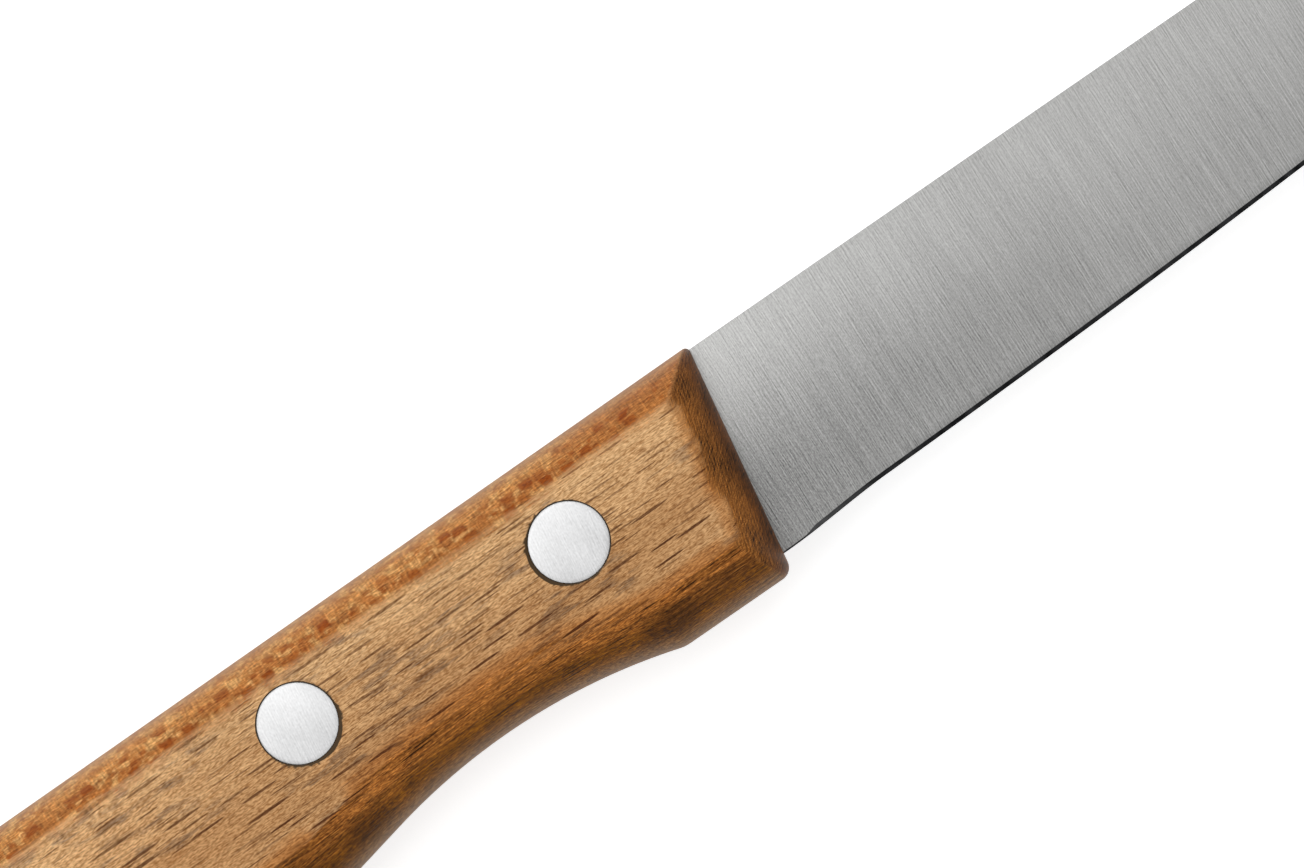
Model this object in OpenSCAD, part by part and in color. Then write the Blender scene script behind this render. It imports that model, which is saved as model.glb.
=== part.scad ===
// Paring knife lying on its left side: a full-tang blade between two beech scales,
// held by three two-piece cutlery rivets.
// +X runs toward the tip, +Y toward the spine and +Z up from the face that the knife rests on.
// The origin is on that face, midway between the front and the middle rivet. Millimetres and degrees.

/* [Blade] */
// Length of the blade in front of the handle
blade_length = 95; // [85:1:105]
// Depth of the blade from spine to heel
heel_depth = 20.2; // [18.5:0.1:20.8]
// Thickness of the steel at the tang and the heel
steel_thickness = 1.5; // [1.2:0.1:2]
// Thickness of the blade just behind the edge bevel
edge_thickness = 0.35; // [0.25:0.05:0.6]
// Height of the sharpened edge bevel
edge_bevel = 0.42; // [0.3:0.02:0.8]
// How far sharpening has set the edge back behind the heel
heel_relief = 0.5; // [0.1:0.02:0.8]
// Length over which the flat grind fades in ahead of the handle
grind_run = 14; // [6:1:24]
// Length of the curved belly behind the tip
belly_run = 40; // [30:1:50]
// Length over which the spine drops to the tip
droop_run = 38; // [25:1:50]
// How far the spine drops at the tip
tip_drop = 2.5; // [1:0.1:5]
// Depth of the blunted point of the tip
tip_depth = 0.4; // [0.3:0.1:1]

/* [Handle front] */
// Depth of the handle at its front, below the spine
front_depth = 22.1; // [21.6:0.1:23]
// How far the back of the handle stands above the spine at the front
back_rise = 0.36; // [0.2:0.02:0.6]
// Lean of the front end, back toward the edge side
front_slant = 9.7; // [4:0.1:14]
// Distance from the front end to the middle of the finger groove
groove_back = 33.5; // [31:0.1:36]
// Depth of the handle at the finger groove
groove_depth = 19.4; // [18.6:0.1:20.4]
// Radius of the finger groove
groove_radius = 60; // [52:1:66]
// Corner radius where the front end meets the edge side
front_corner_radius = 1.3; // [0.5:0.1:2]
// Corner radius where the front end meets the back
back_corner_radius = 0.5; // [0.3:0.1:1.2]

/* [Handle rear] */
// Length of the handle along the spine
handle_length = 108; // [104:1:116]
// Depth of the handle at the belly
belly_depth = 23.5; // [23:0.1:25]
// Radius of the belly
belly_radius = 48; // [40:1:56]
// Radius of the hollow behind the belly
neck_radius = 40; // [30:1:48]
// Radius of the lower corner of the butt
hook_radius = 9; // [7:0.5:11]
// Radius of the upper corner of the butt
shoulder_radius = 8; // [6:0.5:10]
// Radius of the droop of the back
back_radius = 190; // [150:5:240]

/* [Handle section] */
// Thickness across both scales and the tang
handle_thickness = 16; // [14:0.5:19]
// Width of the rounding on the edge side, seen from the flat side
bottom_rounding = 4.6; // [3:0.1:5.2]
// Width of the rounding along the back
back_rounding = 3.3; // [2:0.1:4.2]
// Width of the rounding across the front end
front_rounding = 3; // [2:0.1:4]
// Half width of the soft ridge round the flat side
ridge_softness = 0.5; // [0.2:0.05:0.8]

/* [Rivets] */
// Distance between the front and the middle rivet along the handle
rivet_pitch = 29.6; // [28:0.1:30.6]
// Distance from the front end of the handle to the front rivet
rivet_setback = 19; // [17:0.1:20]
// Distance from the butt to the rear rivet
rear_rivet_setback = 30; // [27:0.5:33]
// Distance from the spine to the rivet line
rivet_inset = 8; // [7.4:0.1:9]
// How far the front two rivets lie off that line, the front one toward the edge
rivet_skew = 0.22; // [0:0.02:0.4]
// How far the rear rivet drops below that line
rear_rivet_drop = 1.2; // [0:0.1:2]
// Diameter of the rivet heads
head_diameter = 7.5; // [6.4:0.1:8.4]
// Height of the rivet heads
head_height = 2.5; // [1.5:0.1:3]
// Outer diameter of the tubular half of a rivet
shank_diameter = 5; // [4.4:0.1:5.6]
// Diameter of the solid half's pin
pin_diameter = 3.2; // [2.4:0.1:3.4]
// Space left at the end of a tube and of a pin
rivet_play = 1; // [0.4:0.1:2]

/* [Fits] */
// Gap round a rivet head in its recess
head_gap = 0.2; // [0.1:0.05:0.4]
// How far a rivet head lies below the flat side
head_recess = 0.03; // [0.01:0.01:0.1]
// Radial clearance of a rivet tube in a scale
shank_clearance = 0.05; // [0.02:0.01:0.15]
// Radial clearance of a rivet tube in the tang
tang_clearance = 0.1; // [0.05:0.01:0.2]
// Radial clearance of a pin in its tube
pin_clearance = 0.02; // [0.01:0.01:0.05]
// How far the tang's edge lies inside the scales
tang_inset = 0.15; // [0.05:0.05:0.3]
// How far the tang's front shoulder lies behind the front end of the scales
shoulder_inset = 0.6; // [0.3:0.1:1.5]

/* [Hidden] */
$fn = 96;

steel_colour = "#a9aaab";
beech_colour = "#b98a58";
aluminium_colour = "#dcdddf";

// Where the pieces meet
front_x = rivet_pitch / 2 + rivet_setback;
spine_y = rivet_inset;
middle_z = handle_thickness / 2;
scale_thickness = (handle_thickness - steel_thickness) / 2;
overcut = 1;

// Rivet places, and the height at which a rivet head seats above the face of its own side
front_rivet = [rivet_pitch / 2, -rivet_skew];
middle_rivet = [-rivet_pitch / 2, rivet_skew];
rear_rivet = [front_x - handle_length + rear_rivet_setback, -rear_rivet_drop];
rivets = [front_rivet, middle_rivet, rear_rivet];
head_seat = head_recess + head_height;

// Angles that the outward normal of the handle outline turns to, clockwise from the back
back_angle = 90.35;
front_angle = -front_slant;
bottom_angle = -90;
ramp_angle = -77.6;
tail_angle = -99;
hook_angle = -74;
butt_angle = -180;
shoulder_angle = -217;
droop_angle = -263;

// Corner radii at the flat side, and those of the crease between the front end and the groove
front_flat_radius = 0.7;
back_flat_radius = 1.2;
crease_radius = 4;
crease_flat_radius = 1.5;

function mix(a, b, t) = a + (b - a) * t;
function smooth(t) = let (s = max(0, min(1, t))) s * s * (3 - 2 * s);
function normal(a) = [cos(a), sin(a)];
function heading(a) = [sin(a), -cos(a)];
// Points along an arc; one that carries on from the last arc leaves out their common point
function arc(centre, radius, from, to, steps, first = 0) =
  [for (i = [first:steps]) centre + radius * normal(mix(from, to, i / steps))];

// Point at the given depths inside two straight sides that pass through a corner
function inside_corner(corner, angle_a, depth_a, angle_b, depth_b) =
  let (turn = sin(angle_b - angle_a))
  corner + [
    (depth_b * sin(angle_a) - depth_a * sin(angle_b)) / turn,
    (depth_a * cos(angle_b) - depth_b * cos(angle_a)) / turn
  ];

// Centres of the outline's arcs, from the front corner back along the edge side
front_corner = [front_x, spine_y + back_rise];
bottom_y = spine_y - front_depth;
groove_centre = [front_x - groove_back, spine_y - groove_depth - groove_radius];
ramp_start = groove_centre - groove_radius * normal(ramp_angle);
belly_y = spine_y - belly_depth + belly_radius;
belly_centre = [
  ramp_start.x - (belly_radius + (belly_y - ramp_start.y) * sin(ramp_angle)) / cos(ramp_angle),
  belly_y
];
tail_start = belly_centre + belly_radius * normal(tail_angle);
tail_to_hook = neck_radius * (normal(tail_angle) - normal(hook_angle)) - hook_radius * normal(hook_angle);
tail_length = (tail_start.x + tail_to_hook.x - hook_radius - front_x + handle_length) / -sin(tail_angle);
tail_end = tail_start + tail_length * heading(tail_angle);
neck_centre = tail_end + neck_radius * normal(tail_angle);
hook_centre = tail_end + tail_to_hook;
butt_point = hook_centre + hook_radius * normal(butt_angle);

// The back droops to a rounded shoulder, and one arc closes the butt between that and the hook
droop_reach = (back_radius - shoulder_radius) * normal(droop_angle) - back_radius * normal(back_angle)
  + shoulder_radius * normal(shoulder_angle);
butt_turn = normal(shoulder_angle) - normal(butt_angle);
butt_radius = (front_corner + droop_reach - butt_point) * normal(back_angle) / (butt_turn * normal(back_angle));
butt_centre = butt_point - butt_radius * normal(butt_angle);
shoulder_centre = butt_centre + (butt_radius - shoulder_radius) * normal(shoulder_angle);
droop_centre = shoulder_centre - (back_radius - shoulder_radius) * normal(droop_angle);

// Handle outline with each side set in, at a share of the way from the tang to the flat side.
// It runs along the edge side and back along the top, with as many points on the way out as on the way back.
function handle_outline(bottom, back, front, share) =
  let (
    top_r = mix(back_corner_radius, back_flat_radius, share),
    low_r = mix(front_corner_radius, front_flat_radius, share),
    crease_r = mix(crease_radius, crease_flat_radius, share),
    top_c = inside_corner(front_corner, back_angle, back + top_r, front_angle, front + top_r),
    low_depth = bottom + low_r - front_corner.y + bottom_y,
    low_c = inside_corner(front_corner, front_angle, front + low_r, bottom_angle, low_depth),
    crease_reach = groove_radius + bottom + crease_r,
    crease_rise = bottom_y + bottom + crease_r - groove_centre.y,
    crease_run = sqrt(crease_reach ^ 2 - crease_rise ^ 2),
    crease_c = groove_centre + [crease_run, crease_rise],
    crease_angle = atan(crease_rise / crease_run) - 180,
    back_start = droop_centre + (back_radius - back) * normal(back_angle),
    back_end = top_c + top_r * normal(back_angle),
    butt_steps = 6,
    back_steps = 36
  )
  concat(
    arc(low_c, low_r, front_angle, bottom_angle, 6),
    arc(crease_c, crease_r, bottom_angle, crease_angle, 5),
    arc(groove_centre, -groove_radius - bottom, crease_angle, ramp_angle, 16, 1),
    arc(belly_centre, belly_radius - bottom, ramp_angle, tail_angle, 8),
    arc(neck_centre, -neck_radius - bottom, tail_angle, hook_angle, 9),
    arc(hook_centre, hook_radius - bottom, hook_angle, butt_angle, 12, 1),
    [
      for (i = [1:butt_steps - 1])
        let (s = i / butt_steps)
          butt_centre + (butt_radius - mix(bottom, back, s)) * normal(mix(butt_angle, shoulder_angle, s))
    ],
    arc(shoulder_centre, shoulder_radius - back, shoulder_angle, droop_angle, 6),
    arc(droop_centre, back_radius - back, droop_angle, back_angle - 360, 6, 1),
    [for (i = [1:back_steps - 1]) mix(back_start, back_end, i / back_steps)],
    arc(top_c, top_r, back_angle, front_angle, 6)
  );

// How far a side of the given rounding is set in at height z above the tang: an arc, then a soft ridge
function set_in(width, z) =
  let (
    radius = (scale_thickness ^ 2 + width ^ 2) / (2 * width),
    ridge_drop = ridge_softness * scale_thickness / radius,
    ridge_z = scale_thickness - ridge_drop,
    ridge_start = radius - sqrt(radius ^ 2 - ridge_z ^ 2),
    t = 1 - sqrt(max(0, scale_thickness - z) / ridge_drop)
  )
  z < ridge_z ?
    radius - sqrt(radius ^ 2 - z ^ 2) :
    (1 - t) ^ 2 * ridge_start + 2 * t * (1 - t) * width + t ^ 2 * (width + ridge_softness);

// Heights of a scale's rings above the tang, closer together toward the ridge
level_steps = 12;
scale_levels = [for (i = [0:level_steps]) scale_thickness * sin(90 * i / level_steps)];

// Closed skin over rings of as many points each, turning clockwise as seen from the last ring.
// The ends are strips between the first half of a ring and its second half.
module skin(rings) {
  count = len(rings[0]);
  last = (len(rings) - 1) * count;
  sides = [
    for (ring = [0:count:last - count], i = [0:count - 1])
      let (
        a = ring + i,
        b = ring + (i + 1) % count
      )
      each [[a, b, b + count], [a, b + count, a + count]]
  ];
  ends = [
    for (i = [0:count / 2 - 2])
      let (strip = [i, i + 1, count - 2 - i, count - 1 - i])
      each [[for (k = [3:-1:0]) strip[k]], [for (k = strip) last + k]]
  ];
  polyhedron([for (ring = rings) each ring], concat(sides, ends), convexity = 6);
}

// One scale before drilling, with its tang face at z = 0 and its flat side up
module scale_blank() {
  skin([
    for (z = scale_levels)
      let (
        bottom = set_in(bottom_rounding, z),
        back = set_in(back_rounding, z),
        front = set_in(front_rounding, z)
      )
      [for (p = handle_outline(bottom, back, front, z / scale_thickness)) [p.x, p.y, z]]
  ]);
}

// Stepped hole for a rivet, up from the tang face and out through the flat side
module rivet_hole() {
  translate([0, 0, -overcut])
    cylinder(d = shank_diameter + 2 * shank_clearance, h = scale_thickness + 2 * overcut);
  translate([0, 0, scale_thickness - head_seat])
    cylinder(d = head_diameter + 2 * head_gap, h = head_seat + overcut);
}

module drilled_scale() {
  difference() {
    scale_blank();
    for (place = rivets)
      translate(place) rivet_hole();
  }
}

module scale_right() {
  color(beech_colour)
    translate([0, 0, middle_z + steel_thickness / 2])
      drilled_scale();
}

module scale_left() {
  color(beech_colour)
    translate([0, 0, middle_z - steel_thickness / 2])
      mirror([0, 0, 1])
        drilled_scale();
}

// Edge of the blade: a relief that starts where the heel leaves the handle, a gentle slope and curve,
// then the belly up to the tip
heel_start = -heel_depth * tan(front_slant);
heel_run = 11.8;
edge_slope = 0.0115;
edge_curve = 0.00034;
belly_power = 2.6;
droop_power = 2;

// Depths of the spine and of the edge below the spine line, at u ahead of the handle
function spine_depth(u) =
  tip_drop * max(0, 1 - (blade_length - u) / droop_run) ^ droop_power;
function plain_edge(u) =
  let (ahead = max(0, u))
  heel_depth - heel_relief * smooth((u - heel_start) / heel_run) - edge_slope * ahead - edge_curve * ahead ^ 2;
function edge_depth(u) =
  let (tip_fall = plain_edge(blade_length) - tip_drop - tip_depth)
  plain_edge(u) - tip_fall * max(0, 1 - (blade_length - u) / belly_run) ^ belly_power;

// Section of the blade: thickness fades from the bare steel at the heel to a flat grind with a sharpened bevel
blade_root = 8;
bevel_start = -1;
bevel_run = 1.5;
apex_thickness = 0.05;
spine_ease = 0.15;
thinning_power = 0.7;
least_share = 0.25;

function blade_section(u) =
  let (
    depth = edge_depth(u) - spine_depth(u),
    grind = smooth(u / grind_run),
    sharp = smooth((u - bevel_start) / bevel_run),
    ground = mix(edge_thickness, steel_thickness, min(1, depth / heel_depth) ^ thinning_power),
    spine = mix(steel_thickness, ground, grind) / 2,
    behind_edge = mix(steel_thickness, edge_thickness, grind) / 2,
    apex = mix(steel_thickness / 2 - spine_ease, apex_thickness / 2, sharp),
    ease = min(spine_ease, depth * least_share),
    bevel = min(mix(spine_ease, edge_bevel, sharp), depth * least_share),
    x = front_x + u,
    top = spine_y - spine_depth(u),
    low = top - depth
  )
  [
    [x, top, middle_z - spine + ease],
    [x, top - ease, middle_z - spine],
    [x, low + bevel, middle_z - behind_edge],
    [x, low, middle_z - apex],
    [x, low, middle_z + apex],
    [x, low + bevel, middle_z + behind_edge],
    [x, top - ease, middle_z + spine],
    [x, top, middle_z + spine - ease]
  ];

// Stations along the blade: every half millimetre at the heel, then closing up toward the tip
heel_zone = 10;
heel_step = 0.5;
tip_steps = 30;
tip_crowding = 1.4;
blade_stations = concat(
  [-blade_root],
  [for (u = [-blade_root / 2:heel_step:heel_zone - heel_step]) u],
  [for (i = [0:tip_steps]) mix(heel_zone, blade_length, 1 - (1 - i / tip_steps) ^ tip_crowding)]
);

module tang() {
  translate([0, 0, middle_z - steel_thickness / 2])
    linear_extrude(steel_thickness)
      polygon(handle_outline(tang_inset, tang_inset, shoulder_inset, 0));
}

module blade() {
  color(steel_colour)
    difference() {
      union() {
        skin([for (u = blade_stations) blade_section(u)]);
        tang();
      }
      for (place = rivets)
        translate([place.x, place.y, middle_z - steel_thickness])
          cylinder(d = shank_diameter + 2 * tang_clearance, h = 2 * steel_thickness);
    }
}

// Tubular half of a rivet, its head in the right scale and its bore open downward
module rivet_tube(place) {
  seat = handle_thickness - head_seat;
  tube_end = head_seat + rivet_play;
  color(aluminium_colour)
    translate(place)
      difference() {
        union() {
          translate([0, 0, seat]) cylinder(d = head_diameter, h = head_height);
          translate([0, 0, tube_end]) cylinder(d = shank_diameter, h = seat + head_height / 2 - tube_end);
        }
        translate([0, 0, tube_end - overcut])
          cylinder(d = pin_diameter + 2 * pin_clearance, h = seat - tube_end + overcut);
      }
}

// Solid half of a rivet, its head in the left scale and its pin up inside the tube
module rivet_pin(place) {
  pin_end = handle_thickness - head_seat - rivet_play;
  color(aluminium_colour)
    translate([place.x, place.y, head_recess]) {
      cylinder(d = head_diameter, h = head_height);
      cylinder(d = pin_diameter, h = pin_end - head_recess);
    }
}

blade();
scale_left();
scale_right();
rivet_tube(front_rivet);  // rivet_front_tube
rivet_pin(front_rivet);  // rivet_front_pin
rivet_tube(middle_rivet);  // rivet_middle_tube
rivet_pin(middle_rivet);  // rivet_middle_pin
rivet_tube(rear_rivet);  // rivet_rear_tube
rivet_pin(rear_rivet);  // rivet_rear_pin
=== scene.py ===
# %% [markdown]
# # A paring knife with a riveted beech handle
# The knife lies on its left side. A imported CAD model gives every piece its place, and this lesson dresses
# those pieces: finer meshes, wood that is drawn through the whole solid, brushed steel and scratched
# rivets. The first cell loads the CAD model and bakes each piece's placement into its mesh.

# %% Load the CAD frame
import cmath
import math
from functools import partialmethod, reduce

import bmesh
import bpy
from mathutils import Euler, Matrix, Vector
from mathutils.geometry import delaunay_2d_cdt


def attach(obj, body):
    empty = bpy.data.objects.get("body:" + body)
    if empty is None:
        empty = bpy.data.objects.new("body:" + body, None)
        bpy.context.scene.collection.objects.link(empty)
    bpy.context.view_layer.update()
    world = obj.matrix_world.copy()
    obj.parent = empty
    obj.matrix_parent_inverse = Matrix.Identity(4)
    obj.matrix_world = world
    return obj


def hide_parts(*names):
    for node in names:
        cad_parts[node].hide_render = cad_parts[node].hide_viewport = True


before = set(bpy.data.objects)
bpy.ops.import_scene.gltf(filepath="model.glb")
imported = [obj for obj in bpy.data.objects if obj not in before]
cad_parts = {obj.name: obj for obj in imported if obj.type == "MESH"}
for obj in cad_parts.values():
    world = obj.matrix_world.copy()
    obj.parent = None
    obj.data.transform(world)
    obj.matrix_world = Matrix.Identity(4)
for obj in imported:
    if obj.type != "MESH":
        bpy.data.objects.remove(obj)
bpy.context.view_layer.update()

MM = 0.001
print("CAD pieces:", ", ".join(sorted(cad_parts)))

# %% [markdown]
# ## Node trees that read like formulas
# Blender keeps materials and Geometry Nodes as trees of small nodes. Wiring them by hand hides the idea,
# so a thin wrapper lets a socket be added, multiplied and compared as a number is, and makes the Math
# nodes itself. The same Math node works in shader trees and in geometry trees, so one wrapper serves
# both.

# %% Wire nodes with ordinary arithmetic


def feed(tree, slot, value):
    """Link a wire into a slot, or set a plain value on it."""
    if isinstance(value, Wire):
        tree.links.new(value.socket, slot)
    else:
        slot.default_value = value


def add(tree, kind, feeds=None, out=0, **settings):
    """New node with its settings and its inputs, by name or by number. Gives one of its outputs."""
    node = tree.nodes.new(kind)
    for name, value in settings.items():
        setattr(node, name, value)
    for slot, value in (feeds or {}).items():
        feed(tree, node.inputs[slot], value)
    return Wire(tree, node.outputs[out])


class Wire:
    """An output socket that arithmetic can be done with."""

    def __init__(self, tree, socket):
        self.tree = tree
        self.socket = socket

    def math(self, operation, *others):
        values = dict(enumerate((self,) + others))
        return add(self.tree, "ShaderNodeMath", values, operation=operation)

    __add__ = __radd__ = partialmethod(math, "ADD")
    __mul__ = __rmul__ = partialmethod(math, "MULTIPLY")
    __sub__ = partialmethod(math, "SUBTRACT")
    __rsub__ = partialmethod(math, "MULTIPLY_ADD", -1)
    __truediv__ = partialmethod(math, "DIVIDE")
    __pow__ = partialmethod(math, "POWER")
    __gt__ = partialmethod(math, "GREATER_THAN")

    def within(self):
        """The value, kept from 0 to 1."""
        return self.math("MAXIMUM", 0).math("MINIMUM", 1)

    def toward(self, other, share):
        return self + (other - self) * share

    def swing(self, amount):
        """What a value that goes up and down round 0.5 adds to something: at most half the amount."""
        return (self - 0.5) * amount

    def smooth(self, low=0, high=1):
        """0 below low, 1 above high, and an even ease between them. Low may be the larger."""
        feeds = {"Value": self, "From Min": low, "From Max": high}
        return add(self.tree, "ShaderNodeMapRange", feeds, interpolation_type="SMOOTHSTEP")

    def other(self, name):
        """Another output of the same node."""
        return Wire(self.tree, self.socket.node.outputs[name])


print("A wire takes +, -, *, /, ** and >")

# %% Vectors and new trees


def joined(tree, x, y, z):
    return add(tree, "ShaderNodeCombineXYZ", {0: x, 1: y, 2: z})


def split(vector):
    parts = add(vector.tree, "ShaderNodeSeparateXYZ", {0: vector})
    return parts, parts.other("Y"), parts.other("Z")


def scaled(vector, factor):
    return add(vector.tree, "ShaderNodeVectorMath", {0: vector, "Scale": factor}, operation="SCALE")


def combined(operation, wires):
    """One wire from several, such as the least or the most of them."""
    return reduce(lambda one, other: one.math(operation, other), wires)


def new_tree(name, kind, inputs, outputs):
    """Node tree with named sockets. Gives the tree, its inputs as wires and the node for its results."""
    tree = bpy.data.node_groups.new(name, kind)
    for way, sockets in (("INPUT", inputs), ("OUTPUT", outputs)):
        for label, socket_type in sockets.items():
            tree.interface.new_socket(label, in_out=way, socket_type=socket_type)
    start = tree.nodes.new("NodeGroupInput")
    end = tree.nodes.new("NodeGroupOutput")
    return tree, {label: Wire(tree, start.outputs[label]) for label in inputs}, end


NUMBER = "NodeSocketFloat"
VECTOR = "NodeSocketVector"
GEOMETRY = "NodeSocketGeometry"
MATERIAL = "NodeSocketMaterial"
print("Wires are ready for shader and geometry trees")

# %% [markdown]
# ## Lines left by grinding
# The blade was ground across its width, which leaves long fine lines, and the rivet heads were ground
# flush and carry short scratches. Both are the same effect with other sizes: noise that is stretched
# along one direction. Two copies of the noise, a part of a line apart, are subtracted, so that broad
# bands cancel and fine lines are left. As several materials use it, it is a shader node group with named
# inputs. It reads Object coordinates, so the lines stay on the steel from every side. A second group
# makes soft zones, plain noise of any size, for grit, bands and broad parts that are a little lighter or
# darker.

# %% Node groups: ground lines and soft zones
LINE_OFFSET = 0.6
LINE_CONTRAST = 0.8


def turned_axes(tree, given):
    """Millimetres along and across a direction that is turned about the upright, and the height."""
    in_mm = scaled(given["Vector"], 1 / MM)
    feeds = {"Vector": in_mm, "Angle": given["Turn"] * -1}
    return split(add(tree, "ShaderNodeVectorRotate", feeds, rotation_type="Z_AXIS"))


def ground_lines_group():
    inputs = {"Vector": VECTOR, "Turn": NUMBER, "Spacing": NUMBER, "Length": NUMBER}
    tree, given, end = new_tree("Ground lines", "ShaderNodeTree", inputs, {"Lines": NUMBER})
    along, across, height = turned_axes(tree, given)

    def noise(shift):
        stretched = joined(tree, along / given["Length"], across / given["Spacing"] + shift, height)
        feeds = {"Vector": stretched, "Scale": 1, "Detail": 2, "Roughness": 0.6}
        return add(tree, "ShaderNodeTexNoise", feeds)

    feed(tree, end.inputs["Lines"], (noise(0) - noise(LINE_OFFSET)) * LINE_CONTRAST + 0.5)
    return tree


def soft_zones_group():
    inputs = {"Vector": VECTOR, "Size": NUMBER, "Turn": NUMBER, "Stretch": NUMBER}
    tree, given, end = new_tree("Soft zones", "ShaderNodeTree", inputs, {"Zone": NUMBER})
    along, across, height = turned_axes(tree, given)
    size = given["Size"]
    stretched = joined(tree, along / (size * given["Stretch"]), across / size, height / size)
    feeds = {"Vector": stretched, "Scale": 1, "Detail": 1, "Roughness": 0.4}
    feed(tree, end.inputs["Zone"], add(tree, "ShaderNodeTexNoise", feeds))
    return tree


ground_lines = ground_lines_group()
soft_zones = soft_zones_group()
print("Node groups:", ground_lines.name, "and", soft_zones.name)

# %% [markdown]
# ## Colours and the start of a material
# Colours are easiest to name as a screen shows them, from 0 to 255, while a shader wants linear light, so
# a helper turns one into the other. Every material starts from a Principled BSDF and Object coordinates,
# and two short calls lay the lines and the zones from above on it.

# %% Helpers for materials


def screen(red, green, blue):
    """Linear colour from screen values."""
    def linear(value):
        share = value / 255
        return share / 12.92 if share <= 0.04045 else ((share + 0.055) / 1.055) ** 2.4
    return (linear(red), linear(green), linear(blue), 1)


def blend(share, one, other, kind="MIX"):
    feeds = {0: share, 6: one, 7: other}
    return add(share.tree, "ShaderNodeMix", feeds, out=2, data_type="RGBA", blend_type=kind)


def brightened(colour, factor):
    """Colour, plain or a wire, times a factor that changes over the surface."""
    return add(factor.tree, "ShaderNodeVectorMath", {0: colour, "Scale": factor}, operation="SCALE")


def new_material(name, **plain):
    """Material with plain values on its shader. Gives it, its tree, the shader and the coordinates."""
    material = bpy.data.materials.new(name)
    material.use_nodes = True
    tree = material.node_tree
    shader = tree.nodes["Principled BSDF"]
    for socket, value in plain.items():
        shader.inputs[socket.replace("_", " ")].default_value = value
    place = add(tree, "ShaderNodeTexCoord").other("Object")
    return material, tree, shader, place


def group(tree, node_tree, feeds):
    return add(tree, "ShaderNodeGroup", feeds, node_tree=node_tree)


def lines_on(place, turn, spacing, length):
    feeds = {"Vector": place, "Turn": turn, "Spacing": spacing, "Length": length}
    return group(place.tree, ground_lines, feeds)


def zones_on(place, size, turn=0, stretch=1):
    feeds = {"Vector": place, "Size": size, "Turn": turn, "Stretch": stretch}
    return group(place.tree, soft_zones, feeds)


def set_surface(tree, shader, colour, roughness):
    feed(tree, shader.inputs["Base Color"], colour)
    feed(tree, shader.inputs["Roughness"], roughness)


def bumped(tree, shader, height, depth):
    """Small relief from a height of 0 to 1 that stands for a depth in metres."""
    relief = add(tree, "ShaderNodeBump", {"Height": height, "Distance": depth, "Strength": 1})
    feed(tree, shader.inputs["Normal"], relief)


print("White is", screen(255, 255, 255)[:3])

# %% [markdown]
# ## Brushed steel and the sharpened edge
# The side of the blade is a mid grey with long and short lines across it, fine grit between them, and
# bands and broad zones that are a little lighter or darker, where the grinding belt pressed more or less.
# It pressed most near the handle, so the lines are stronger there. They change colour, roughness and
# relief together, so they show in the light as real ones do. The side is also painted lighter toward the
# spine and darker toward the edge, most of all near the handle: painted shade of the light from the spine
# side. The sharpened edge is a finer, polished strip whose colour is painted nearly black, a painted dark
# reflection with a few painted glints, and it gets a material of its own.

# %% Materials: blade steel and edge
FRONT_X = 33.8
SPINE_Y = 8.0
LINE_TURN = math.radians(-91.7)
ZONE_TURN = math.radians(-62)
SHADE_FALL_DEPTH = 16
PRESS_AND_SHADE_RUN = 28
LINE_RELIEF = 0.004 * MM
STEEL_GREY = (0.307, 0.306, 0.3)
EDGE_PAINTED_DARK = (0.017, 0.017, 0.018)


def blade_steel():
    material, tree, shader, place = new_material("brushed_blade_steel", Metallic=1)
    long = lines_on(place, LINE_TURN, spacing=0.14, length=7)
    short = lines_on(place, LINE_TURN, spacing=0.15, length=2)
    grit = zones_on(place, 0.12, LINE_TURN, stretch=1.7)
    band = zones_on(place, 0.9, LINE_TURN, stretch=9)
    zone = zones_on(place, 9, ZONE_TURN, stretch=2.5)
    x, y, z = split(scaled(place, 1 / MM))
    shade_toward_edge = ((SPINE_Y - y) / SHADE_FALL_DEPTH).smooth()
    near = ((FRONT_X - x).math("MINIMUM", 0) / PRESS_AND_SHADE_RUN).math("EXPONENT")
    lines = long * 0.45 + short * 0.55
    level = 1 + lines.swing(1.5 + near * 0.4) + grit.swing(0.4 + near * 0.4)
    level = level + band.swing(0.2) + zone.swing(0.15)
    # Painted shade: lighter toward the spine and darker toward the edge, strongest near the handle
    level = level + (1 - shade_toward_edge * 2) * (0.05 + near * 0.3)
    set_surface(tree, shader, brightened(STEEL_GREY, level), 0.42 + lines.swing(0.4))
    bumped(tree, shader, lines, LINE_RELIEF)
    return material


def edge_steel():
    material, tree, shader, place = new_material("sharpened_edge_steel", Metallic=1)
    lines = lines_on(place, LINE_TURN, spacing=0.08, length=2)
    glint = zones_on(place, 1.2)
    # Painted dark reflection: the edge colour is nearly black, lit up in soft patches as painted glints
    level = (0.6 + lines * 0.8) * (1 + glint.swing(3))
    set_surface(tree, shader, brightened(EDGE_PAINTED_DARK, level), 0.3 + lines * 0.1)
    return material


steel = blade_steel()
edge = edge_steel()
print("Materials:", steel.name, "and", edge.name)

# %% [markdown]
# ## Aluminium rivets
# The heads are soft aluminium, ground flush with the wood: bright, nearly white, with fine scratches in
# one direction, a little grit and a faint lighter side.

# %% Material: rivet aluminium
SCRATCH_TURN = math.radians(-98)
SCRATCH_RELIEF = 0.003 * MM
RIVET_GREY = (0.565, 0.565, 0.567)


def rivet_aluminium():
    material, tree, shader, place = new_material("scratched_rivet_aluminium", Metallic=1)
    scratches = lines_on(place, SCRATCH_TURN, spacing=0.16, length=1.8)
    grit = zones_on(place, 0.16, SCRATCH_TURN, stretch=1.5)
    zone = zones_on(place, 3, ZONE_TURN, stretch=1.5)
    level = 1 + scratches.swing(0.5) + grit.swing(0.3) + zone.swing(0.2)
    set_surface(tree, shader, brightened(RIVET_GREY, level), 0.5 + scratches.swing(0.4))
    bumped(tree, shader, scratches, SCRATCH_RELIEF)
    return material


aluminium = rivet_aluminium()
print("Material:", aluminium.name)

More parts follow.
